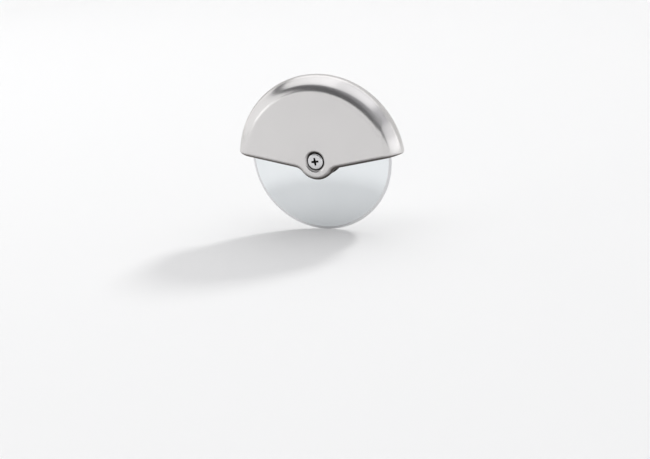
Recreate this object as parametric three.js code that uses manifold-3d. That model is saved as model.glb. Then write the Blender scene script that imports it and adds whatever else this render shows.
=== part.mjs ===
// Palm-held pizza wheel: a hollow half-moon housing with a round cutting wheel turning inside it.
// Millimetres, +Z up, wheel axis along Y, screw side at -Y, lowest point of the wheel at Z = 0.
import * as THREE from "three";
import { mergeVertices } from "three/addons/utils/BufferGeometryUtils.js";
import Module from "manifold-3d";

const wasm = await Module();
wasm.setup();

// Cutting wheel
const bladeRadius = 40;
const bladeThickness = 1.2;
const bevelWidth = 1.8;
const edgeLand = 0.2;

// Housing shell
const housingDepth = 19;
const wall = 2.6;
const rimGap = 2.95;
const domeDrop = 1.55;
const crownReach = 8.5;
const lipRound = 2.2;
const endLip = 0.7;

// Lower edge: two straight slopes that fall towards a round lug about the axle
const slope = 0.2;
const slopeDrop = 6.15;
const neckRadius = 5.9;
const lugLand = 4.1;

// Axle screw, sleeve and their seats in the lugs
const headRadius = 4.4;
const headHeight = 2.6;
const headEdge = 0.9;
const recessLip = 1.4;
const seatThickness = 2.6;
const screwRadius = 2;
const screwReach = 8;
const sleeveRadius = 3.5;
const sleevePocket = 1;
const crossSpan = 4.2;
const crossWidth = 1;
const crossDepth = 1.8;
const slotWidth = 1.1;
const slotDepth = 1.2;

// Hub bushes and thrust washers
const flangeRadius = 9.6;
const flangeThickness = 1.6;
const hubRadius = 6.6;
const spigotRadius = 5;
const spigotLength = 0.45;
const washerThickness = 0.5;

// Clearances
const headRoom = 0.5;
const boreRoom = 0.2;
const threadRoom = 0.3;
const seatGap = 0.1;
const runGap = 0.15;

// Facets
const discSegments = 96;
const domeSegments = 96;
const cavitySegments = 72;
const hubSegments = 36;
const crownSteps = 8;
const cavitySteps = 6;
const lipSteps = 4;
const lugSteps = 9;
const neckSteps = 4;
const endSteps = 10;
const overshoot = 2;

// Shared places and sizes
const halfDepth = housingDepth / 2;
const cavityHalfDepth = halfDepth - wall;
const domeRadius = bladeRadius + rimGap + wall + domeDrop;
const cavityRadius = domeRadius - wall;
const faceRadius = domeRadius - crownReach;
const recessRadius = headRadius + headRoom;
const lugRadius = recessRadius + recessLip + lugLand;
const headFace = halfDepth;
const seatOuter = headFace - headHeight - seatGap;
const seatInner = seatOuter - seatThickness;
const bladeFace = bladeThickness / 2;
const washerOuter = seatInner - seatGap;
const washerInner = washerOuter - washerThickness;
const bushOuter = washerInner - runGap;
const bushInner = bladeFace + seatGap;
const sleeveBore = screwRadius + threadRoom;
const axleHole = sleeveRadius + boreRoom;
const hubBore = sleeveRadius + runGap;
const axleHeight = bladeRadius;

const vec = (x, y) => new THREE.Vector2(x, y);

// A closed geometry as a solid, with every face kept that still has three corners.
function solidOf(geometry) {
  const plain = geometry.index ? geometry.toNonIndexed() : geometry.clone();
  plain.deleteAttribute("normal");
  plain.deleteAttribute("uv");
  const merged = mergeVertices(plain, 1e-4);
  const corners = merged.index.array;
  const kept = [];
  for (let i = 0; i < corners.length; i += 3) {
    const [a, b, c] = [corners[i], corners[i + 1], corners[i + 2]];
    if (a !== b && b !== c && c !== a) kept.push(a, b, c);
  }
  const mesh = new wasm.Mesh({
    numProp: 3,
    vertProperties: merged.attributes.position.array,
    triVerts: new Uint32Array(kept),
  });
  return new wasm.Manifold(mesh);
}

// A solid back as drawable geometry.
function geometryOf(solid) {
  const mesh = solid.getMesh();
  const geometry = new THREE.BufferGeometry();
  geometry.setAttribute("position", new THREE.BufferAttribute(mesh.vertProperties, 3));
  geometry.setIndex(new THREE.BufferAttribute(mesh.triVerts, 1));
  geometry.computeVertexNormals();
  return geometry;
}

// A profile of (radius, y) points, rising in y along its outside, turned about the wheel axis.
function turned(points, segments) {
  return new THREE.LatheGeometry(points, segments);
}

// An outline of (x, z) points as a prism along Y between two depths.
function prism(points, from, to) {
  const geometry = new THREE.ExtrudeGeometry(new THREE.Shape(points), {
    depth: to - from,
    bevelEnabled: false,
  });
  geometry.rotateX(Math.PI / 2);
  geometry.translate(0, to, 0);
  return geometry;
}

// Quarter ellipse from the flat face at the given depth to the rim, as (radius, depth) points.
function crown(rim, reach, depth, steps) {
  const points = [];
  for (let i = 0; i <= steps; i += 1) {
    const turn = (i / steps) * (Math.PI / 2);
    points.push(vec(rim - reach + reach * Math.sin(turn), depth * Math.cos(turn)));
  }
  return points;
}

// Solid pebble of revolution: flat faces, elliptic crown all round, centred below the axle.
function pebble(rim, reach, depth, steps, segments) {
  const quarter = crown(rim, reach, depth, steps);
  const front = quarter.map((p) => vec(p.x, -p.y));
  const rear = quarter.slice(0, -1).reverse();
  const profile = [vec(0, -depth), ...front, ...rear, vec(0, depth)];
  const geometry = turned(profile, segments);
  geometry.translate(0, 0, -domeDrop);
  return geometry;
}

// Right half of the lower edge from under the axle to the end: points with outward normals.
function halfLowerEdge() {
  const edge = [];
  const lean = Math.hypot(1, slope);
  const normal = vec(slope / lean, -1 / lean);
  const level = slopeDrop + neckRadius * lean;
  const reach = lugRadius + neckRadius;
  const root = (slope * level) ** 2 - lean ** 2 * (level ** 2 - reach ** 2);
  const neckX = (slope * level + Math.sqrt(root)) / lean ** 2;
  const neckZ = slope * neckX - level;
  const lugEnd = Math.atan2(neckZ, neckX);
  const lugStart = -Math.PI / 2;
  for (let i = 0; i <= lugSteps; i += 1) {
    const turn = lugStart + ((lugEnd - lugStart) * i) / lugSteps;
    const out = vec(Math.cos(turn), Math.sin(turn));
    edge.push({ x: lugRadius * out.x, z: lugRadius * out.y, out });
  }
  const neckStart = lugEnd + Math.PI;
  const neckEnd = Math.atan2(-normal.y, -normal.x);
  for (let i = 1; i <= neckSteps; i += 1) {
    const turn = neckStart + ((neckEnd - neckStart) * i) / neckSteps;
    const out = vec(-Math.cos(turn), -Math.sin(turn));
    edge.push({ x: neckX - neckRadius * out.x, z: neckZ - neckRadius * out.y, out });
  }
  const offset = slopeDrop - domeDrop;
  for (let i = 0; i <= endSteps; i += 1) {
    const turn = (i / endSteps) * (Math.PI / 2);
    const r = faceRadius + crownReach * Math.sin(turn);
    const under = (slope * offset) ** 2 - lean ** 2 * (offset ** 2 - r ** 2);
    const x = (slope * offset + Math.sqrt(under)) / lean ** 2;
    edge.push({ x, z: slope * x - slopeDrop, out: normal, turn });
  }
  return edge;
}

// Point and normal of the shell's outside where the lower edge cuts it, on the front side.
function onShell(place) {
  const turn = place.turn || 0;
  const r = Math.hypot(place.x, place.z + domeDrop);
  const rise = Math.sin(turn) / crownReach;
  const depth = Math.cos(turn) / halfDepth;
  const size = Math.hypot(rise, depth);
  return {
    point: new THREE.Vector3(place.x, -halfDepth * Math.cos(turn), place.z),
    shell: new THREE.Vector3(
      ((place.x / r) * rise) / size,
      -depth / size,
      (((place.z + domeDrop) / r) * rise) / size,
    ),
    under: new THREE.Vector3(place.out.x, 0, place.out.y),
    round: endLip + (lipRound - endLip) * Math.cos(turn),
  };
}

// Section of the cutter that rounds the lip at one place: an arc tangent to both faces, and a corner outside.
function lipSection({ point, shell, under, round }) {
  const both = shell.clone().add(under);
  const share = 1 + shell.dot(under);
  const centre = point.clone().addScaledVector(both, -round / share);
  const section = [];
  for (let i = 0; i <= lipSteps; i += 1) {
    const t = i / lipSteps;
    const ray = shell.clone().multiplyScalar(1 - t).addScaledVector(under, t).normalize();
    const spread = i === 0 || i === lipSteps ? round * 1.02 : round;
    section.push(centre.clone().addScaledVector(ray, spread));
  }
  section.push(point.clone().addScaledVector(both, round / 4));
  return section;
}

// Closed ring of sections as one skin.
function ringSkin(sections) {
  const count = sections[0].length;
  const corners = sections.flat().flatMap((p) => [p.x, p.y, p.z]);
  const faces = [];
  sections.forEach((section, i) => {
    const here = i * count;
    const next = ((i + 1) % sections.length) * count;
    section.forEach((point, j) => {
      const k = (j + 1) % count;
      faces.push(here + j, next + j, here + k, here + k, next + j, next + k);
    });
  });
  const geometry = new THREE.BufferGeometry();
  geometry.setAttribute("position", new THREE.Float32BufferAttribute(corners, 3));
  geometry.setIndex(faces);
  return geometry;
}

// Flared seat for a screw head: straight recess with a rounded lip, opening at the given side.
function seatCutter(side) {
  const points = [vec(0, seatOuter), vec(recessRadius, seatOuter)];
  for (let i = 0; i <= lipSteps; i += 1) {
    const turn = (i / lipSteps) * (Math.PI / 2);
    const r = recessRadius + recessLip * (1 - Math.cos(turn));
    points.push(vec(r, halfDepth - recessLip * (1 - Math.sin(turn))));
  }
  points.push(vec(recessRadius + recessLip, halfDepth + overshoot), vec(0, halfDepth + overshoot));
  return solidOf(sided(points, side));
}

// A profile given for the rear side, turned there or, reversed, at the front.
function sided(points, side) {
  const placed = points.map((p) => vec(p.x, side * p.y));
  return turned(side > 0 ? placed : placed.reverse(), hubSegments);
}

// Plain cylinder about the wheel axis.
function barrel(radius, from, to) {
  const profile = [vec(0, from), vec(radius, from), vec(radius, to), vec(0, to)];
  return solidOf(turned(profile, hubSegments));
}

function housingGeometry() {
  const half = halfLowerEdge();
  const mirrored = half.slice(1).reverse().map((p) => ({ ...p, x: -p.x, out: vec(-p.out.x, p.out.y) }));
  const edge = [...mirrored, ...half];
  const first = edge[0];
  const last = edge[edge.length - 1];
  const reach = domeRadius + overshoot;
  const high = slope * (reach - last.x);
  const below = [
    vec(-reach, first.z + high),
    ...edge.map((p) => vec(p.x, p.z)),
    vec(reach, last.z + high),
    vec(reach, -reach),
    vec(-reach, -reach),
  ];
  const outside = solidOf(pebble(domeRadius, crownReach, halfDepth, crownSteps, domeSegments));
  const inside = solidOf(
    pebble(cavityRadius, crownReach - wall, cavityHalfDepth, cavitySteps, cavitySegments),
  );
  const front = edge.map(onShell);
  const rear = front.slice(1, -1).reverse().map(({ point, shell, under, round }) => ({
    point: point.clone().setY(-point.y),
    shell: shell.clone().setY(-shell.y),
    under,
    round,
  }));
  const lip = solidOf(ringSkin([...front, ...rear].map(lipSection)));
  const cut = solidOf(prism(below, -halfDepth - overshoot, halfDepth + overshoot));
  const bossRadius = lugRadius + neckRadius / 4;
  const bossOuter = halfDepth - wall / 2;
  const frontBoss = barrel(bossRadius, -bossOuter, -seatInner);
  const rearBoss = barrel(bossRadius, seatInner, bossOuter);
  const frontHole = barrel(sleeveBore, -halfDepth, -seatInner + overshoot);
  const frontPocket = barrel(axleHole, -seatInner - sleevePocket, -seatInner + overshoot);
  const rearHole = barrel(axleHole, seatInner - overshoot, halfDepth);
  const shell = outside.subtract(inside).add(frontBoss).add(rearBoss);
  const trimmed = shell.subtract(cut).subtract(lip);
  const seats = trimmed.subtract(seatCutter(-1)).subtract(seatCutter(1));
  return geometryOf(seats.subtract(frontHole).subtract(frontPocket).subtract(rearHole));
}

function bladeGeometry() {
  const hole = spigotRadius + boreRoom;
  const ground = bladeRadius - bevelWidth;
  return turned(
    [
      vec(hole, -bladeFace),
      vec(ground, -bladeFace),
      vec(bladeRadius, -edgeLand / 2),
      vec(bladeRadius, edgeLand / 2),
      vec(ground, bladeFace),
      vec(hole, bladeFace),
      vec(hole, -bladeFace),
    ],
    discSegments,
  );
}

// Flanged bush: spigot in the wheel's hole, flange against its face, hub out to the washer.
function bushGeometry(side) {
  const spigotEnd = bushInner - spigotLength;
  const shoulder = bushInner + flangeThickness;
  return sided(
    [
      vec(hubBore, spigotEnd),
      vec(spigotRadius, spigotEnd),
      vec(spigotRadius, bushInner),
      vec(flangeRadius, bushInner),
      vec(flangeRadius, shoulder),
      vec(hubRadius, shoulder),
      vec(hubRadius, bushOuter),
      vec(hubBore, bushOuter),
      vec(hubBore, spigotEnd),
    ],
    side,
  );
}

function washerGeometry(side) {
  return sided(
    [
      vec(axleHole, washerInner),
      vec(hubRadius, washerInner),
      vec(hubRadius, washerOuter),
      vec(axleHole, washerOuter),
      vec(axleHole, washerInner),
    ],
    side,
  );
}

// Head with a rounded edge, from its seat out to its face, as profile points for the rear side.
function headProfile() {
  const base = headFace - headHeight;
  const points = [vec(headRadius, base)];
  for (let i = 0; i <= lipSteps; i += 1) {
    const turn = (i / lipSteps) * (Math.PI / 2);
    const r = headRadius - headEdge * (1 - Math.cos(turn));
    points.push(vec(r, headFace - headEdge * (1 - Math.sin(turn))));
  }
  points.push(vec(0, headFace));
  return points;
}

function screwGeometry() {
  const base = headFace - headHeight;
  const tip = headFace - headHeight - screwReach;
  const chamfer = screwRadius / 3;
  const profile = [
    vec(0, tip),
    vec(screwRadius - chamfer, tip),
    vec(screwRadius, tip + chamfer),
    vec(screwRadius, base),
    ...headProfile(),
  ];
  const arm = (wide, high) => [
    vec(-wide / 2, -high / 2),
    vec(wide / 2, -high / 2),
    vec(wide / 2, high / 2),
    vec(-wide / 2, high / 2),
  ];
  const from = -headFace - overshoot;
  const to = -headFace + crossDepth;
  const across = solidOf(prism(arm(crossSpan, crossWidth), from, to));
  const upright = solidOf(prism(arm(crossWidth, crossSpan), from, to));
  return geometryOf(solidOf(sided(profile, -1)).subtract(across).subtract(upright));
}

function sleeveGeometry() {
  const base = headFace - headHeight;
  const end = -seatInner - sleevePocket + seatGap;
  const boreEnd = end + screwReach + seatThickness - sleevePocket;
  const profile = [
    vec(0, boreEnd),
    vec(sleeveBore, boreEnd),
    vec(sleeveBore, end),
    vec(sleeveRadius, end),
    vec(sleeveRadius, base),
    ...headProfile(),
  ];
  const slot = [
    vec(-headRadius - overshoot, -slotWidth / 2),
    vec(headRadius + overshoot, -slotWidth / 2),
    vec(headRadius + overshoot, slotWidth / 2),
    vec(-headRadius - overshoot, slotWidth / 2),
  ];
  const groove = solidOf(prism(slot, headFace - slotDepth, headFace + overshoot));
  return geometryOf(solidOf(sided(profile, 1)).subtract(groove));
}

const satinSteel = () => new THREE.MeshStandardMaterial({ color: 0xc9c7c5, roughness: 0.38, metalness: 1 });
const mirrorSteel = () => new THREE.MeshStandardMaterial({ color: 0xdfe3e6, roughness: 0.06, metalness: 1 });
const brightSteel = () => new THREE.MeshStandardMaterial({ color: 0xd2d2d4, roughness: 0.22, metalness: 1 });
const blackNylon = () => new THREE.MeshStandardMaterial({ color: 0x1b1b1d, roughness: 0.55, metalness: 0 });

const group = new THREE.Group();

function place(name, geometry, material) {
  const mesh = new THREE.Mesh(geometry, material);
  mesh.name = name;
  mesh.position.z = axleHeight;
  group.add(mesh);
}

place("housing", housingGeometry(), satinSteel());
place("cutting_wheel", bladeGeometry(), mirrorSteel());
place("front_hub_bush", bushGeometry(-1), blackNylon());
place("rear_hub_bush", bushGeometry(1), blackNylon());
place("front_thrust_washer", washerGeometry(-1), brightSteel());
place("rear_thrust_washer", washerGeometry(1), brightSteel());
place("axle_sleeve", sleeveGeometry(), brightSteel());
place("axle_screw", screwGeometry(), brightSteel());

export default group;
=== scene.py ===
"""Palm-held pizza wheel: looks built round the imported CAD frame, in metres and in the same frame."""

import math

import bmesh
import bpy
import numpy as np
from mathutils import Matrix, Vector


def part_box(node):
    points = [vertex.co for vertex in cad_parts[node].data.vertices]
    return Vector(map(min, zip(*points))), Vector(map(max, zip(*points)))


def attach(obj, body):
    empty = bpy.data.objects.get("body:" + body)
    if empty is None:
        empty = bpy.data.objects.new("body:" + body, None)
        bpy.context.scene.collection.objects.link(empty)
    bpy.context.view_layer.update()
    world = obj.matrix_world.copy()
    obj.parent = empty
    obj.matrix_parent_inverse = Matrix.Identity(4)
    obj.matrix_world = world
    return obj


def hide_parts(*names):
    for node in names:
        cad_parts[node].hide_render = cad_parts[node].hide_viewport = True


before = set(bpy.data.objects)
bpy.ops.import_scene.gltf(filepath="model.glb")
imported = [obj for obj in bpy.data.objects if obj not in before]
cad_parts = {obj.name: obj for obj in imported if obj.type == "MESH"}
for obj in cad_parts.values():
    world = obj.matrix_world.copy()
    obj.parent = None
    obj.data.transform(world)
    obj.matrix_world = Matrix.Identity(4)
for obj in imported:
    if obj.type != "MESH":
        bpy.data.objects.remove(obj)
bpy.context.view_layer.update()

MM = 0.001

# Sizes read from the frame, in millimetres
wheel_low, wheel_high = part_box("cutting_wheel")
housing_low, housing_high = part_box("housing")
screw_low, screw_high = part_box("axle_screw")
sleeve_low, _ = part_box("axle_sleeve")
bush_low, bush_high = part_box("rear_hub_bush")
washer_low, washer_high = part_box("rear_thrust_washer")
AXLE = (wheel_low[2] + wheel_high[2]) / 2 / MM
BLADE_R = (wheel_high[0] - wheel_low[0]) / 2 / MM
BLADE_HALF = (wheel_high[1] - wheel_low[1]) / 2 / MM
HALF_DEPTH = (housing_high[1] - housing_low[1]) / 2 / MM
HALF_LENGTH = housing_high[0] / MM
DOME_TOP = housing_high[2] / MM - AXLE
HEAD_R = (screw_high[0] - screw_low[0]) / 2 / MM
HEAD_FACE = -screw_low[1] / MM
SCREW_TIP = -screw_high[1] / MM
SLEEVE_END = sleeve_low[1] / MM
FLANGE_R = (bush_high[0] - bush_low[0]) / 2 / MM
BUSH_OUTER = bush_high[1] / MM
SPIGOT_END = bush_low[1] / MM
WASHER_R = (washer_high[0] - washer_low[0]) / 2 / MM
WASHER_INNER = washer_low[1] / MM
WASHER_OUTER = washer_high[1] / MM

# Housing forms that the boxes don't give, in millimetres
DOME_DROP = 1.55
DOME_R = DOME_TOP + DOME_DROP
CROWN_REACH = 8.5
FACE_R = DOME_R - CROWN_REACH
WALL = 2.6
LIP_R = 2.5
END_LIP = 0.4
INNER_LIP = 0.3
INNER_LIP_SHARE = 0.4
SLOPE = 0.2
SLOPE_DROP = 6.15
NECK_R = 5.9
LUG_R = 10.4
BOSS_R = LUG_R + NECK_R / 4
BOSS_INSET = 0.995
BOSS_EDGE = 0.4
SEAT_R = 4.65
SEAT_LIP = 1.65
SEAT_OUTER = HEAD_FACE - 2.7
SEAT_INNER = SEAT_OUTER - 2.6
AXLE_HOLE = 3.7
POCKET = 1.0

# Wheel and fastener forms that the boxes don't give, in millimetres
BLADE_HOLE = 5.2
HOLE_EDGE = 0.1
BEVEL = 1.45
GROUND_R = BLADE_R - BEVEL
EDGE_LAND = 0.2
HEAD_BASE = HEAD_FACE - 2.6
HEAD_UNDER_EDGE = 0.15
HEAD_EDGE = 0.9
HEAD_CROWN = 0.12
SCREW_R = 2.0
TIP_R = SCREW_R * 0.6
THREAD_PITCH = 0.7
THREAD_DEPTH = 0.3
THREAD_CREST = (0.4, 0.6)
THREAD_LOW = SCREW_TIP + 0.6
THREAD_HIGH = HEAD_BASE - 1.2
SLEEVE_R = 3.5
SLEEVE_BORE = 2.3
SLEEVE_BOTTOM = SLEEVE_END + 9.6
SLEEVE_EDGE = 0.3
BORE_EDGE = 0.2
SLOT_HALF = 0.55
SLOT_DEPTH = 1.2
CROSS_TURN = math.radians(6)
CROSS_HALF, CROSS_ROOT = 0.5, 0.64
HUB_BORE = 3.65
HUB_R = 6.6
SPIGOT_R = 5.0
BUSH_INNER = BLADE_HALF + 0.1
BUSH_SHOULDER = BUSH_INNER + 1.6
BUSH_EDGE = 0.3
WASHER_EDGE = 0.12

# Depth, reach and share of the width at each level of the cross recess
CROSS_LEVELS = ((-0.6, 2.2, 1.1), (0.0, 2.1, 1.0), (1.2, 1.7, 0.9), (2.0, 1.2, 0.75))

# How far tools run past what they cut, in millimetres
OVERRUN = 1.0
ROD_OVERRUN = 2.0

# Fineness of the meshes
BLADE_STEPS, TURN_STEPS, ROD_STEPS = 360, 96, 72
LUG_STEPS, NECK_STEPS, SLOPE_STEPS, END_STEPS = 22, 10, 12, 30
FACE_SAMPLES, CROWN_SAMPLES = 40, 160
OUTER_STEPS, LIP_STEPS, INNER_STEPS = 44, 8, 24
BEND = (0, 0.33, 0.67, 1)
BOSS_STEPS, BOSS_EDGE_STEPS = 64, 4
SEAT_STEPS, HEAD_STEPS, CORNER_STEPS = 10, 8, 4
HEAD_SHARES = (0.8, 0.6, 0.4, 0.2)
CORNER_SHARE = 0.45
ON_AXIS = 1e-6
WELD = 2e-7

# Edges sharper than these angles, in degrees, stay sharp, and how much large faces lead the shading
BODY_ANGLE, BLADE_ANGLE, RING_ANGLE = 32, 10, 40
FACE_LEAD = 80


def new_object(name, verts, faces):
    """Mesh object from millimetre points about the axle, put in the row frame in metres."""
    mesh = bpy.data.meshes.new(name)
    placed = [(x * MM, y * MM, (z + AXLE) * MM) for x, y, z in verts]
    mesh.from_pydata(placed, [], faces)
    bm = bmesh.new()
    bm.from_mesh(mesh)
    bmesh.ops.remove_doubles(bm, verts=bm.verts, dist=WELD)
    bmesh.ops.recalc_face_normals(bm, faces=bm.faces)
    bm.to_mesh(mesh)
    bm.free()
    obj = bpy.data.objects.new(name, mesh)
    bpy.context.collection.objects.link(obj)
    return obj


def turned(name, profile, steps):
    """Closed profile of (radius, y) points turned about the axle; ends on the axis or closes on itself."""
    verts, faces = [], []
    count = len(profile)
    for i in range(steps):
        turn = 2 * math.pi * i / steps
        for r, y in profile:
            verts.append((r * math.sin(turn), y, -r * math.cos(turn)))
    closed = profile[0][0] > ON_AXIS
    for i in range(steps):
        here, there = i * count, ((i + 1) % steps) * count
        for j in range(count if closed else count - 1):
            k = (j + 1) % count
            a, b, c, d = here + j, here + k, there + k, there + j
            if profile[j][0] < ON_AXIS:
                faces.append((a, b, c))
            elif profile[k][0] < ON_AXIS:
                faces.append((a, b, d))
            else:
                faces.append((a, b, c, d))
    return new_object(name, verts, faces)


def stacked(name, rings):
    """Closed solid through rings of equally many points, with a face on the first and on the last."""
    verts = [point for ring in rings for point in ring]
    faces = []
    count = len(rings[0])
    for k in range(len(rings) - 1):
        low, high = k * count, (k + 1) * count
        for i in range(count):
            j = (i + 1) % count
            faces.append((low + i, low + j, high + j, high + i))
    faces.append(tuple(range(count)))
    faces.append(tuple(range(len(verts) - count, len(verts))))
    return new_object(name, verts, faces)


def quarter(steps):
    """Angles over a quarter turn, in equal steps."""
    return np.linspace(0, math.pi / 2, steps + 1)


def rounded(points, radius):
    """Profile with its soft corners rounded: points are (r, y, soft?)."""
    out = []
    count = len(points)
    for i, (r, y, soft) in enumerate(points):
        if not soft:
            out.append((r, y))
            continue
        here = Vector((r, y))
        before = Vector(points[i - 1][:2]) - here
        after = Vector(points[(i + 1) % count][:2]) - here
        size = min(radius, before.length * CORNER_SHARE, after.length * CORNER_SHARE)
        start, end = here + before.normalized() * size, here + after.normalized() * size
        for s in range(CORNER_STEPS + 1):
            t = s / CORNER_STEPS
            p = start.lerp(here, t).lerp(here.lerp(end, t), t)
            out.append((p.x, p.y))
    return out


def finish_mesh(obj, angle):
    """Smooth shading with sharp edges above an angle, and normals led by the large faces."""
    obj.data.shade_smooth()
    obj.data.set_sharp_from_angle(angle=math.radians(angle))
    mod = obj.modifiers.new("weighted", "WEIGHTED_NORMAL")
    mod.keep_sharp = True
    mod.weight = FACE_LEAD
    return obj


def cut(obj, tool, operation="DIFFERENCE"):
    """Boolean of obj with tool, applied; the tool goes away."""
    mod = obj.modifiers.new("cut", "BOOLEAN")
    mod.operation = operation
    mod.solver = "EXACT"
    mod.object = tool
    bpy.context.view_layer.update()
    depsgraph = bpy.context.evaluated_depsgraph_get()
    done = bpy.data.meshes.new_from_object(obj.evaluated_get(depsgraph))
    obj.modifiers.remove(mod)
    obj.data = done
    bpy.data.objects.remove(tool, do_unlink=True)


# Housing

LEAN = math.hypot(1, SLOPE)
UNDER = (SLOPE / LEAN, -1 / LEAN)
UNDER_TURN = math.atan2(UNDER[1], UNDER[0])


def edge_turn(radius, inset):
    """Angle about the dome's axis at which a circle meets the sloping lower edge, raised by an inset."""
    return UNDER_TURN + math.acos(((SLOPE_DROP - DOME_DROP) / LEAN - inset) / radius)


def half_stations():
    """Right half of the flat face's lower edge, from under the axle outwards: (x, z, outward normal)."""
    level = SLOPE_DROP + NECK_R * LEAN
    reach = LUG_R + NECK_R
    root = (SLOPE * level) ** 2 - LEAN**2 * (level**2 - reach**2)
    neck_x = (SLOPE * level + math.sqrt(root)) / LEAN**2
    neck_z = SLOPE * neck_x - level
    lug_end = math.atan2(neck_z, neck_x)
    neck_end = math.atan2(-UNDER[1], -UNDER[0])
    stations = []
    for turn in np.linspace(-math.pi / 2, lug_end, LUG_STEPS + 1):
        out = (math.cos(turn), math.sin(turn))
        stations.append((LUG_R * out[0], LUG_R * out[1], out))
    for turn in np.linspace(lug_end + math.pi, neck_end, NECK_STEPS + 1)[1:]:
        out = (-math.cos(turn), -math.sin(turn))
        stations.append((neck_x - NECK_R * out[0], neck_z - NECK_R * out[1], out))
    face_end = FACE_R * math.cos(edge_turn(FACE_R, LIP_R)) + LIP_R * UNDER[0]
    for x in np.linspace(stations[-1][0], face_end, SLOPE_STEPS + 1)[1:-1]:
        stations.append((x, SLOPE * x - SLOPE_DROP, UNDER))
    return stations


def crown_radius(turn, inset):
    """Distance from the dome's axis at a crown angle, inset by a wall."""
    return FACE_R + (CROWN_REACH - inset) * math.sin(turn)


def dome_point(turn, around, inset):
    """Point of the dome, inset by a wall, at a crown angle and an angle about the axle line."""
    r = crown_radius(turn, inset)
    depth = (HALF_DEPTH - inset) * math.cos(turn)
    return np.array((r * math.cos(around), -depth, r * math.sin(around) - DOME_DROP))


def dome_normal(turn, around):
    """Outward direction of the dome's skin at a crown angle and an angle about the axle line."""
    rise = math.sin(turn) / CROWN_REACH
    depth = math.cos(turn) / HALF_DEPTH
    size = math.hypot(rise, depth)
    rise, depth = rise / size, depth / size
    return np.array((rise * math.cos(around), -depth, rise * math.sin(around)))


def lip_arc(centre, start, end, radius):
    """Points of the lip's arc about a centre, from one direction to another."""
    angle = math.acos(max(-1, min(1, float(np.dot(start, end)))))
    points = []
    for i in range(LIP_STEPS + 1):
        t = i / LIP_STEPS
        ray = (math.sin((1 - t) * angle) * start + math.sin(t * angle) * end) / math.sin(angle)
        points.append(centre + radius * ray)
    return points


def section_up(point, inset, count):
    """Points at one x from a place on the dome's front, up its face and over the crown to the ridge."""
    x = point[0]
    rim = FACE_R + CROWN_REACH - inset
    start_r = math.hypot(x, point[2] + DOME_DROP)
    fine = []
    if start_r < FACE_R and abs(x) < FACE_R:
        top = math.sqrt(FACE_R**2 - x**2) - DOME_DROP
        heights = np.linspace(point[2], top, FACE_SAMPLES)[:-1]
        fine += [np.array((x, point[1], z)) for z in heights]
        start_turn = 0.0
    else:
        start_turn = math.asin(min(1, (start_r - FACE_R) / (CROWN_REACH - inset)))
    for turn in np.linspace(start_turn, math.pi / 2, CROWN_SAMPLES):
        r = min(rim, crown_radius(turn, inset))
        z = math.sqrt(max(0, r**2 - x**2)) - DOME_DROP
        fine.append(np.array((x, -(HALF_DEPTH - inset) * math.cos(turn), z)))
    fine = np.array(fine)
    fine[0] = point
    lengths = np.linalg.norm(np.diff(fine, axis=0), axis=1)
    along = np.concatenate(([0], np.cumsum(lengths)))
    want = np.linspace(0, along[-1], count + 1)
    return [np.array([np.interp(w, along, fine[:, k]) for k in range(3)]) for w in want]


def skin_row(centre, lip, normal, under, inner, raised):
    """One row of the skin: outer ridge, outer face, lip, inner face, inner ridge."""
    arc = lip_arc(centre, normal, under, lip)
    outer = section_up(arc[0], 0, OUTER_STEPS)
    to_outer = arc[-1] - inner
    width = np.linalg.norm(to_outer)
    soft = min(INNER_LIP, width * INNER_LIP_SHARE)
    start, end = inner + to_outer / width * soft, raised(soft)
    bend = [start * (1 - t) ** 2 + inner * 2 * t * (1 - t) + end * t**2 for t in BEND]
    inside = section_up(end, WALL, INNER_STEPS)
    return outer[::-1] + arc[1:] + bend + inside[1:]


def face_row(x, z, out):
    """Row of the skin at a station of the flat face."""
    under = np.array((out[0], 0.0, out[1]))
    front = np.array((0.0, -1.0, 0.0))
    centre = np.array((x, -HALF_DEPTH, z)) - LIP_R * (front + under)
    inner = np.array((x, -(HALF_DEPTH - WALL), z))
    return skin_row(centre, LIP_R, front, under, inner, lambda soft: inner - under * soft)


def crown_row(turn):
    """Row of the skin that starts at a crown angle, where the lip narrows towards the end."""
    lip = END_LIP + (LIP_R - END_LIP) * math.cos(turn)
    flat = crown_radius(turn, 0) - lip * dome_normal(turn, 0)[0]
    around = edge_turn(flat, lip)
    normal = dome_normal(turn, around)
    centre = dome_point(turn, around, 0) - lip * normal
    under = np.array((UNDER[0], 0.0, UNDER[1]))

    def raised(soft):
        return dome_point(turn, edge_turn(crown_radius(turn, WALL), soft), WALL)

    return skin_row(centre, lip, normal, under, raised(0), raised)


def shell_object():
    """Hollow half-moon: rows mirrored left to right and front to rear, joined to one closed skin."""
    half = [face_row(x, z, out) for x, z, out in half_stations()]
    half += [crown_row(turn) for turn in quarter(END_STEPS)]
    limit = np.array((HALF_LENGTH, np.inf, np.inf))
    half = [[np.minimum(p, limit) for p in row] for row in half]
    mirror = [[p * np.array((-1, 1, 1)) for p in row] for row in reversed(half[1:])]
    rows = mirror + half
    verts, faces = [], []
    count = len(rows[0])
    for side in (1, -1):
        base = len(verts)
        for row in rows:
            verts += [tuple(p * np.array((1, side, 1))) for p in row]
        for i in range(len(rows) - 1):
            for j in range(count - 1):
                a = base + i * count + j
                faces.append((a, a + 1, a + count + 1, a + count))
    return new_object("housing_shell", verts, faces)


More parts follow.
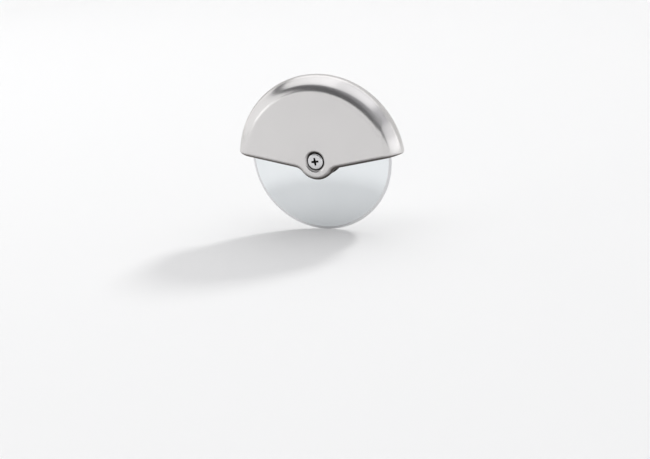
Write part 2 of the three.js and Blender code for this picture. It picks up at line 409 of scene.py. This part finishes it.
def boss_object(side):
    """Thickened lug inside the wall: a disc about the axle, trimmed to the lug's outline below."""
    lower = [(x, z) for x, z, _ in half_stations() if math.hypot(x, z) <= BOSS_R]
    edge = [(-x, z) for x, z in reversed(lower[1:])] + lower
    start = math.atan2(edge[-1][1], edge[-1][0])
    turns = np.linspace(start, math.pi - start, BOSS_STEPS + 1)[1:-1]
    arc = [(BOSS_R * math.cos(t), BOSS_R * math.sin(t)) for t in turns]
    loop = [(x * BOSS_INSET, z * BOSS_INSET) for x, z in edge] + arc
    layers = [(HALF_DEPTH - LIP_R, 1.0)]
    for t in quarter(BOSS_EDGE_STEPS):
        share = 1 - BOSS_EDGE * (1 - math.cos(t)) / LUG_R
        layers.append((SEAT_INNER + BOSS_EDGE * (1 - math.sin(t)), share))
    rings = [[(x * share, side * depth, z * share) for x, z in loop] for depth, share in layers]
    return stacked("boss", rings)


def seat_tool(side):
    """Flared recess for a head."""
    profile = [(0, SEAT_OUTER), (SEAT_R, SEAT_OUTER)]
    for t in quarter(SEAT_STEPS):
        r = SEAT_R + SEAT_LIP * (1 - math.cos(t))
        profile.append((r, HALF_DEPTH - SEAT_LIP * (1 - math.sin(t))))
    profile += [(SEAT_R + SEAT_LIP, HALF_DEPTH + OVERRUN), (0, HALF_DEPTH + OVERRUN)]
    return turned("seat", [(r, side * y) for r, y in profile], TURN_STEPS)


def rod(radius, low, high):
    """Plain cylinder about the axle, between two depths."""
    return turned("rod", [(0, low), (radius, low), (radius, high), (0, high)], ROD_STEPS)


housing = shell_object()
cut(housing, boss_object(-1), "UNION")
cut(housing, boss_object(1), "UNION")
cut(housing, seat_tool(-1))
cut(housing, seat_tool(1))
cut(housing, rod(SLEEVE_BORE, -HALF_DEPTH, -SEAT_INNER + ROD_OVERRUN))
cut(housing, rod(AXLE_HOLE, -SEAT_INNER - POCKET, -SEAT_INNER + ROD_OVERRUN))
cut(housing, rod(AXLE_HOLE, SEAT_INNER - ROD_OVERRUN, HALF_DEPTH))
housing.name = "housing_body"
finish_mesh(housing, BODY_ANGLE)


# Cutting wheel

rear_blade = [
    (BLADE_R, EDGE_LAND / 2),
    (GROUND_R, BLADE_HALF),
    (BLADE_HOLE + HOLE_EDGE, BLADE_HALF),
    (BLADE_HOLE, BLADE_HALF - HOLE_EDGE),
]
front_blade = [(r, -y) for r, y in reversed(rear_blade)]
blade = turned("blade", front_blade + rear_blade, BLADE_STEPS)
finish_mesh(blade, BLADE_ANGLE)


# Screw, sleeve, bushes and washers

def head_points():
    """Outline of a head from its seat to its centre, with a rounded edge and a faint crown."""
    points = [(HEAD_R - HEAD_UNDER_EDGE, HEAD_BASE), (HEAD_R, HEAD_BASE + HEAD_UNDER_EDGE)]
    for t in quarter(HEAD_STEPS):
        r = HEAD_R - HEAD_EDGE * (1 - math.cos(t))
        points.append((r, HEAD_FACE - HEAD_CROWN - HEAD_EDGE * (1 - math.sin(t))))
    flat = HEAD_R - HEAD_EDGE
    for share in HEAD_SHARES:
        points.append((flat * share, HEAD_FACE - HEAD_CROWN * share**2))
    points.append((0, HEAD_FACE))
    return points


def cross_tool():
    """Tapered four-winged driver recess at the front, turned a little on its axis."""
    rings = []
    for depth, reach, wide in CROSS_LEVELS:
        half, root = CROSS_HALF * wide, CROSS_ROOT * wide
        ring = []
        for wing in range(4):
            turn = CROSS_TURN + wing * math.pi / 2
            for u, v in ((reach, -half), (reach, half), (root, root)):
                x = u * math.cos(turn) - v * math.sin(turn)
                z = u * math.sin(turn) + v * math.cos(turn)
                ring.append((x, -HEAD_FACE + depth, z))
        rings.append(ring)
    return stacked("cross", rings)


def slot_tool():
    """Straight driver slot across the rear head."""
    x, z = HEAD_R + OVERRUN, SLOT_HALF
    depths = (HEAD_FACE - SLOT_DEPTH, HEAD_FACE + OVERRUN)
    return stacked("slot", [[(-x, y, -z), (x, y, -z), (x, y, z), (-x, y, z)] for y in depths])


def thread_points():
    """Ridged outline of the screw's threaded shank."""
    points = []
    count = int((THREAD_HIGH - THREAD_LOW) / THREAD_PITCH)
    for i in range(count):
        y = THREAD_LOW + i * THREAD_PITCH
        points.append((SCREW_R - THREAD_DEPTH, y))
        points += [(SCREW_R, y + THREAD_PITCH * share) for share in THREAD_CREST]
    points.append((SCREW_R - THREAD_DEPTH, THREAD_LOW + count * THREAD_PITCH))
    return points


screw_points = [(0, SCREW_TIP), (TIP_R, SCREW_TIP)] + thread_points()
screw_points += [(SCREW_R, HEAD_BASE)] + head_points()
screw = turned("screw", [(r, -y) for r, y in screw_points], TURN_STEPS)
cut(screw, cross_tool())
finish_mesh(screw, BODY_ANGLE)

sleeve_points = [
    (0, SLEEVE_BOTTOM),
    (SLEEVE_BORE, SLEEVE_BOTTOM),
    (SLEEVE_BORE, SLEEVE_END + BORE_EDGE),
    (SLEEVE_BORE + BORE_EDGE, SLEEVE_END),
    (SLEEVE_R - SLEEVE_EDGE, SLEEVE_END),
    (SLEEVE_R, SLEEVE_END + SLEEVE_EDGE),
    (SLEEVE_R, HEAD_BASE),
]
sleeve = turned("sleeve", sleeve_points + head_points(), TURN_STEPS)
cut(sleeve, slot_tool())
finish_mesh(sleeve, BODY_ANGLE)


def ring_object(name, side, points, edge):
    """Ring about the axle with rounded edges, at the front or the rear of the wheel."""
    profile = [(r, side * y) for r, y in rounded(points, edge)]
    return finish_mesh(turned(name, profile, TURN_STEPS), RING_ANGLE)


bush_points = [
    (HUB_BORE, SPIGOT_END, True),
    (SPIGOT_R, SPIGOT_END, True),
    (SPIGOT_R, BUSH_INNER, False),
    (FLANGE_R, BUSH_INNER, True),
    (FLANGE_R, BUSH_SHOULDER, True),
    (HUB_R, BUSH_SHOULDER, True),
    (HUB_R, BUSH_OUTER, True),
    (HUB_BORE, BUSH_OUTER, True),
]
washer_points = [
    (AXLE_HOLE, WASHER_INNER, True),
    (WASHER_R, WASHER_INNER, True),
    (WASHER_R, WASHER_OUTER, True),
    (AXLE_HOLE, WASHER_OUTER, True),
]
front_bush = ring_object("bush_front", -1, bush_points, BUSH_EDGE)
rear_bush = ring_object("bush_rear", 1, bush_points, BUSH_EDGE)
front_washer = ring_object("washer_front", -1, washer_points, WASHER_EDGE)
rear_washer = ring_object("washer_rear", 1, washer_points, WASHER_EDGE)


# Colours, each as a darker and a paler shade, and the roughness that goes with them
SKIN, SKIN_ROUGH = ((0.68, 0.666, 0.661), (0.71, 0.696, 0.69)), (0.2, 0.25)
SKIN_EDGE = (0.85, 0.84, 0.83, 1)
# The darker colour below is painted shade, for the housing's hollow and the underside of its lip
PAINTED_SHADE, RAW_ROUGH = ((0.085, 0.075, 0.068), (0.12, 0.106, 0.096)), (0.45, 0.62)
MIRROR, MIRROR_ROUGH = ((0.85, 0.88, 0.895), (0.875, 0.905, 0.92)), (0.03, 0.055)
BRUSHED, BRUSHED_ROUGH = ((0.66, 0.66, 0.67), (0.74, 0.74, 0.75)), (0.26, 0.36)
TURNED_ROUGH = (0.2, 0.3)
# The recess colour is painted shade, for the inside of a driver recess
RECESS_SHADE, RECESS_ROUGH = ((0.02, 0.019, 0.018), (0.05, 0.048, 0.045)), (0.5, 0.7)
NYLON, NYLON_ROUGH = ((0.014, 0.014, 0.015), (0.026, 0.026, 0.028)), (0.42, 0.6)
SHADE_ENDS = (0.3, 0.7)

# Where the painted shade starts and is full: as a share of the hollow's reach, and facing down on the lip
FACE_REACH, HOLLOW_REACH = 1.37, 1.19
LIP_START, LIP_FULL = 0.03, 0.58

# Depths in millimetres at which the painted shade in a driver recess starts and is full
RECESS_START, RECESS_FULL = 0.15, 0.4


def material(name):
    """New material with its node tree and its shader."""
    mat = bpy.data.materials.new(name)
    mat.use_nodes = True
    tree = mat.node_tree
    return mat, tree, tree.nodes["Principled BSDF"]


def node(tree, kind, **values):
    """New node with its properties set."""
    made = tree.nodes.new(kind)
    for key, value in values.items():
        setattr(made, key, value)
    return made


def maths(tree, operation, first, second=None):
    """Maths on a value and, where given, a second value or a number."""
    made = node(tree, "ShaderNodeMath", operation=operation)
    tree.links.new(first, made.inputs[0])
    if isinstance(second, bpy.types.NodeSocket):
        tree.links.new(second, made.inputs[1])
    elif second is not None:
        made.inputs[1].default_value = second
    return made.outputs["Value"]


def vector_maths(tree, operation, first, second=None):
    """Outputs of maths on a vector and, where given, three numbers."""
    made = node(tree, "ShaderNodeVectorMath", operation=operation)
    tree.links.new(first, made.inputs[0])
    if second is not None:
        made.inputs[1].default_value = second
    return made.outputs


def spread(tree, source, span=(0, 1), ends=(0, 1), clamp=True):
    """A value that runs over a span, spread between two ends."""
    made = node(tree, "ShaderNodeMapRange", clamp=clamp)
    for names, values in ((("From Min", "From Max"), span), (("To Min", "To Max"), ends)):
        for name, value in zip(names, values):
            made.inputs[name].default_value = value
    tree.links.new(source, made.inputs["Value"])
    return made.outputs["Result"]


def axis_part(tree, vector, axis):
    """One of the three values of a vector."""
    parts = node(tree, "ShaderNodeSeparateXYZ")
    tree.links.new(vector, parts.inputs["Vector"])
    return parts.outputs[axis]


def own_place(tree):
    """Place on the piece, in its own coordinates."""
    return node(tree, "ShaderNodeTexCoord").outputs["Object"]


def from_line(tree, place, height):
    """Place seen along the axle from a line at a height in millimetres, and its distance from that line."""
    moved = vector_maths(tree, "SUBTRACT", place, (0, 0, height * MM))["Vector"]
    flat = vector_maths(tree, "MULTIPLY", moved, (1, 0, 1))["Vector"]
    return flat, vector_maths(tree, "LENGTH", flat)["Value"]


def noise(tree, place, scale, detail):
    """Cloudy values over a place."""
    made = node(tree, "ShaderNodeTexNoise")
    made.inputs["Scale"].default_value = scale
    made.inputs["Detail"].default_value = detail
    tree.links.new(place, made.inputs["Vector"])
    return made.outputs["Fac"]


def ring_marks(tree, radius, scale):
    """Noise that changes only with the distance from the axis: lathe and polishing marks."""
    made = node(tree, "ShaderNodeTexNoise", noise_dimensions="1D")
    made.inputs["Scale"].default_value = scale
    made.inputs["Detail"].default_value = 3
    tree.links.new(radius, made.inputs["W"])
    return made.outputs["Fac"]


def tinted(tree, source, shades):
    """Colour between a darker and a paler shade."""
    ramp = node(tree, "ShaderNodeValToRGB")
    for stop, position, shade in zip(ramp.color_ramp.elements, SHADE_ENDS, shades):
        stop.position = position
        stop.color = (*shade, 1)
    tree.links.new(source, ramp.inputs["Fac"])
    return ramp.outputs["Color"]


def blended(tree, share, first, second, socket, kind):
    """Feeds a socket with the first value where share is 0 and the second where it is 1."""
    mix = node(tree, "ShaderNodeMix", data_type=kind)
    sockets = {"FLOAT": (0, 2, 3), "RGBA": (0, 6, 7)}[kind]
    for index, source in zip(sockets, (share, first, second)):
        tree.links.new(source, mix.inputs[index])
    tree.links.new(mix.outputs[{"FLOAT": 0, "RGBA": 2}[kind]], socket)


def bumped(tree, source, shader, distance, strength):
    """Fine relief from a value."""
    bump = node(tree, "ShaderNodeBump")
    bump.inputs["Distance"].default_value = distance
    bump.inputs["Strength"].default_value = strength
    tree.links.new(source, bump.inputs["Height"])
    tree.links.new(bump.outputs["Normal"], shader.inputs["Normal"])


def painted_shade_share(tree):
    """0 on the polished skin of the housing, and 1 where shade is painted: on the walls of its hollow and
    under its lip, where it faces down.
    """
    coords = node(tree, "ShaderNodeTexCoord")
    place = coords.outputs["Object"]
    depth = maths(tree, "DIVIDE", axis_part(tree, place, "Y"), (HALF_DEPTH - WALL) * MM)
    _, radius = from_line(tree, place, AXLE - DOME_DROP)
    crown_span = (FACE_R * MM, (FACE_R + CROWN_REACH - WALL) * MM)
    crown = spread(tree, radius, crown_span, clamp=False)
    both = node(tree, "ShaderNodeCombineXYZ")
    tree.links.new(depth, both.inputs["X"])
    tree.links.new(maths(tree, "MAXIMUM", crown, 0), both.inputs["Y"])
    reach = vector_maths(tree, "LENGTH", both.outputs["Vector"])["Value"]
    # Painted shade on the walls of the hollow
    hollow = spread(tree, reach, (FACE_REACH, HOLLOW_REACH))
    # Painted shade under the lip, darker the more the surface faces down
    facing_up = axis_part(tree, coords.outputs["Normal"], "Z")
    under = spread(tree, facing_up, (-LIP_START, -LIP_FULL))
    return maths(tree, "MAXIMUM", hollow, under)


def recess_share(tree, radius):
    """0 on a head's face and edge, 1 down in its driver recess, where shade is painted."""
    depth = maths(tree, "ABSOLUTE", axis_part(tree, own_place(tree), "Y"))
    sunk = spread(tree, depth, ((HEAD_FACE - RECESS_START) * MM, (HEAD_FACE - RECESS_FULL) * MM))
    within = maths(tree, "LESS_THAN", radius, (HEAD_R - HEAD_EDGE) * MM)
    return maths(tree, "MULTIPLY", sunk, within)


def satin_steel():
    """Softly blasted stainless steel: fine grain, faint cloudiness, duller in the hollow, and painted shade
    darkening the hollow and the underside of the lip.
    """
    mat, tree, shader = material("satin_steel")
    place = own_place(tree)
    cloud = noise(tree, place, scale=60, detail=3)
    grain = noise(tree, place, scale=2400, detail=2)
    hollow = painted_shade_share(tree)
    shader.inputs["Metallic"].default_value = 1
    shader.inputs["Specular Tint"].default_value = SKIN_EDGE
    skin, painted_shade = tinted(tree, cloud, SKIN), tinted(tree, cloud, PAINTED_SHADE)
    # Painted shade: the hollow and the lip's underside take the dark colour
    blended(tree, hollow, skin, painted_shade, shader.inputs["Base Color"], "RGBA")
    polish, dull = spread(tree, cloud, ends=SKIN_ROUGH), spread(tree, grain, ends=RAW_ROUGH)
    blended(tree, hollow, polish, dull, shader.inputs["Roughness"], "FLOAT")
    bumped(tree, grain, shader, distance=0.000005, strength=0.08)
    return mat


def mirror_steel():
    """Polished wheel: mirror faces with faint rings, and a ground edge band with finer, duller lines."""
    mat, tree, shader = material("mirror_steel")
    flat, radius = from_line(tree, own_place(tree), AXLE)
    marks = ring_marks(tree, radius, scale=9000)
    cloud = noise(tree, flat, scale=45, detail=3)
    band = maths(tree, "GREATER_THAN", radius, GROUND_R * MM)
    shader.inputs["Metallic"].default_value = 1
    mirror, brushed = tinted(tree, cloud, MIRROR), tinted(tree, marks, BRUSHED)
    blended(tree, band, mirror, brushed, shader.inputs["Base Color"], "RGBA")
    polish, dull = spread(tree, cloud, ends=MIRROR_ROUGH), spread(tree, marks, ends=BRUSHED_ROUGH)
    blended(tree, band, polish, dull, shader.inputs["Roughness"], "FLOAT")
    bumped(tree, marks, shader, distance=0.000004, strength=0.12)
    return mat


def bright_steel():
    """Turned fastener steel: ring marks from the lathe, uneven gloss, and painted shade darkening the
    driver recess.
    """
    mat, tree, shader = material("bright_steel")
    flat, radius = from_line(tree, own_place(tree), AXLE)
    marks = ring_marks(tree, radius, scale=7000)
    cloud = noise(tree, flat, scale=420, detail=3)
    recess = recess_share(tree, radius)
    shader.inputs["Metallic"].default_value = 1
    bare, recess_shade = tinted(tree, cloud, BRUSHED), tinted(tree, cloud, RECESS_SHADE)
    # Painted shade: the driver recess takes the dark colour
    blended(tree, recess, bare, recess_shade, shader.inputs["Base Color"], "RGBA")
    polish, dull = spread(tree, cloud, ends=TURNED_ROUGH), spread(tree, cloud, ends=RECESS_ROUGH)
    blended(tree, recess, polish, dull, shader.inputs["Roughness"], "FLOAT")
    bumped(tree, marks, shader, distance=0.00001, strength=0.2)
    return mat


def black_nylon():
    """Moulded plastic: fine pebbled skin."""
    mat, tree, shader = material("black_nylon")
    skin = noise(tree, own_place(tree), scale=2600, detail=3)
    tree.links.new(tinted(tree, skin, NYLON), shader.inputs["Base Color"])
    tree.links.new(spread(tree, skin, ends=NYLON_ROUGH), shader.inputs["Roughness"])
    bumped(tree, skin, shader, distance=0.00003, strength=0.35)
    return mat


looks = {
    "satin_steel": satin_steel(),
    "mirror_steel": mirror_steel(),
    "bright_steel": bright_steel(),
    "black_nylon": black_nylon(),
}

for piece, body, cad_node, finish in (
    (housing, "grip", "housing", "satin_steel"),
    (blade, "wheel", "cutting_wheel", "mirror_steel"),
    (screw, "grip", "axle_screw", "bright_steel"),
    (sleeve, "grip", "axle_sleeve", "bright_steel"),
    (front_bush, "wheel", "front_hub_bush", "black_nylon"),
    (rear_bush, "wheel", "rear_hub_bush", "black_nylon"),
    (front_washer, "grip", "front_thrust_washer", "bright_steel"),
    (rear_washer, "grip", "rear_thrust_washer", "bright_steel"),
):
    piece.data.materials.clear()
    piece.data.materials.append(looks[finish])
    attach(piece, body)
    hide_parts(cad_node)


# Floor and backdrop: sizes in metres, colour, and how much they glow near the object and far from it
FLOOR_HALF = 6
BACKDROP_Y, BACKDROP_HALF, BACKDROP_TOP = 1.8, 3, 2
PALE = (0.83, 0.83, 0.827, 1)
PALE_ROUGH = 0.9
STAGE_NEAR, STAGE_FAR = 1.15, 1.5
FLOOR_GLOW = (0.15, 0.85)
BACKDROP_GLOW = (0.5, 0.5)

# Area lamps: name, centre, half width and half height as vectors in metres, and brightness
LAMPS = (
    ("softbox_top", (-0.575, 0.45, 1.2), (0.625, 0, 0), (0, 1.15, 0), 0.95),
    ("softbox_top_right", (0.6, 0.45, 1.2), (0.55, 0, 0), (0, 1.15, 0), 0.58),
    ("softbox_left", (-1.3, -0.55, 0.485), (0, -1.45, 0), (0, 0, 0.435), 0.98),
    ("strip_right", (1.4, -0.1, 0.16), (0, 1.3, 0), (0, 0, 0.15), 0.98),
    ("strip_right_upper", (1.4, -0.1, 0.52), (0, 1.3, 0), (0, 0, 0.21), 0.5),
    ("strip_front", (-0.7, -5.6, 0.35), (5.6, 0, 0), (0, 0, 0.315), 1.05),
)
KEY_ENERGY = 1.5
KEY_ANGLE = math.radians(12)
KEY_DIRECTION = (-0.3, -0.75, -0.6)

# The room: the direction in which it grows lighter, the span of that, and its shades by place and level
ROOM_LEAN = (0.62, 0.2, 0.76)
ROOM_SPAN = (-0.2, 1)
ROOM_SHADES = ((0, 0.115), (0.375, 0.15), (0.7, 0.36), (0.88, 0.48), (1, 0.64))
ROOM_BLUE = 1.04


def plane(name, corners, look):
    """Flat stage surface with four corners."""
    mesh = bpy.data.meshes.new(name)
    mesh.from_pydata(corners, [], [(0, 1, 2, 3)])
    mesh.materials.append(look)
    obj = bpy.data.objects.new(name, mesh)
    bpy.context.collection.objects.link(obj)
    return obj


def pale_surface(name, glow_ends):
    """Pale stage surface that the camera and the metal see near white, and that still takes the shadow."""
    mat, tree, shader = material(name)
    shader.inputs["Base Color"].default_value = PALE
    shader.inputs["Roughness"].default_value = PALE_ROUGH
    light = node(tree, "ShaderNodeEmission")
    light.inputs["Color"].default_value = (1, 1, 1, 1)
    light.inputs["Strength"].default_value = 1
    path = node(tree, "ShaderNodeLightPath").outputs
    seen = maths(tree, "MAXIMUM", path["Is Camera Ray"], path["Is Glossy Ray"])
    reach = vector_maths(tree, "LENGTH", own_place(tree))["Value"]
    glow = spread(tree, reach, (STAGE_NEAR, STAGE_FAR), glow_ends)
    mix = node(tree, "ShaderNodeMixShader")
    tree.links.new(maths(tree, "MULTIPLY", seen, glow), mix.inputs["Fac"])
    tree.links.new(shader.outputs["BSDF"], mix.inputs[1])
    tree.links.new(light.outputs["Emission"], mix.inputs[2])
    tree.links.new(mix.outputs["Shader"], tree.nodes["Material Output"].inputs["Surface"])
    return mat


def softbox(name, centre, across, upward, level):
    """Area lamp with the two half sizes as vectors, facing against their cross product, at a brightness."""
    across, upward = Vector(across), Vector(upward)
    data = bpy.data.lights.new(name, "AREA")
    data.shape = "RECTANGLE"
    data.size = 2 * across.length
    data.size_y = 2 * upward.length
    data.energy = level * math.pi * data.size * data.size_y
    obj = bpy.data.objects.new(name, data)
    bpy.context.collection.objects.link(obj)
    facing = across.cross(upward).normalized()
    axes = Matrix((across.normalized(), upward.normalized(), facing)).transposed()
    obj.matrix_world = Matrix.Translation(centre) @ axes.to_4x4()


def key_lamp():
    """Low sun that casts the shadow and doesn't show in the metal."""
    data = bpy.data.lights.new("key_low", "SUN")
    data.energy = KEY_ENERGY
    data.angle = KEY_ANGLE
    obj = bpy.data.objects.new("key_low", data)
    bpy.context.collection.objects.link(obj)
    obj.rotation_euler = Vector(KEY_DIRECTION).to_track_quat("-Z", "Y").to_euler()
    obj.visible_glossy = False


def studio_world():
    """Dim room, a little lighter to the right and above."""
    world = bpy.data.worlds.new("studio")
    bpy.context.scene.world = world
    world.use_nodes = True
    tree = world.node_tree
    coords = node(tree, "ShaderNodeTexCoord").outputs["Generated"]
    lean = vector_maths(tree, "DOT_PRODUCT", coords, ROOM_LEAN)["Value"]
    shade = node(tree, "ShaderNodeValToRGB")
    stops = shade.color_ramp.elements
    for place, level in ROOM_SHADES:
        stop = stops.new(place) if 0 < place < 1 else stops[-1 if place else 0]
        stop.color = (level, level, level * ROOM_BLUE, 1)
    tree.links.new(spread(tree, lean, ROOM_SPAN), shade.inputs["Fac"])
    background = tree.nodes["Background"]
    tree.links.new(shade.outputs["Color"], background.inputs["Color"])
    background.inputs["Strength"].default_value = 1


floor_corners = [
    (-FLOOR_HALF, -FLOOR_HALF, 0),
    (FLOOR_HALF, -FLOOR_HALF, 0),
    (FLOOR_HALF, FLOOR_HALF, 0),
    (-FLOOR_HALF, FLOOR_HALF, 0),
]
backdrop_corners = [
    (-BACKDROP_HALF, BACKDROP_Y, 0),
    (BACKDROP_HALF, BACKDROP_Y, 0),
    (BACKDROP_HALF, BACKDROP_Y, BACKDROP_TOP),
    (-BACKDROP_HALF, BACKDROP_Y, BACKDROP_TOP),
]
plane("floor", floor_corners, pale_surface("pale_floor", FLOOR_GLOW))
backdrop = plane("backdrop", backdrop_corners, pale_surface("pale_backdrop", BACKDROP_GLOW))
backdrop.visible_shadow = False
for lamp in LAMPS:
    softbox(*lamp)
key_lamp()
studio_world()


# Camera: direction, distance and roll fitted to the wheel's ellipse and the housing's outline
AZIMUTH, ELEVATION, ROLL = math.radians(22.37), math.radians(13.44), math.radians(4.54)
DISTANCE = 0.8
PIXELS_PER_METRE = 1855.0
FRAME_W, FRAME_H = 650, 459
AXLE_PIXEL = (321.31, 157.38)
SENSOR = 36
NEAR_CLIP = 0.01

back = Vector(
    (
        math.sin(AZIMUTH) * math.cos(ELEVATION),
        -math.cos(AZIMUTH) * math.cos(ELEVATION),
        math.sin(ELEVATION),
    )
)
level = Vector((math.cos(AZIMUTH), math.sin(AZIMUTH), 0))
upright = back.cross(level)
right = level * math.cos(ROLL) - upright * math.sin(ROLL)
above = level * math.sin(ROLL) + upright * math.cos(ROLL)
focal = PIXELS_PER_METRE * DISTANCE
pitch = math.atan2(FRAME_H / 2 - AXLE_PIXEL[1], focal)
yaw = math.atan2(FRAME_W / 2 - AXLE_PIXEL[0], focal)
axes = Matrix((right, above, back)).transposed()
aim = Matrix.Rotation(-pitch, 3, "X") @ Matrix.Rotation(-yaw, 3, "Y")
stand = Vector((0, 0, AXLE * MM)) + back * DISTANCE
camera_data = bpy.data.cameras.new("camera")
camera_data.sensor_fit = "HORIZONTAL"
camera_data.sensor_width = SENSOR
camera_data.lens = focal / math.hypot(1, math.tan(pitch)) * SENSOR / FRAME_W
camera_data.clip_start = NEAR_CLIP
camera = bpy.data.objects.new("camera", camera_data)
bpy.context.collection.objects.link(camera)
camera.matrix_world = Matrix.Translation(stand) @ (axes @ aim).to_4x4()
bpy.context.scene.camera = camera

bpy.context.scene.view_settings.view_transform = "Standard"
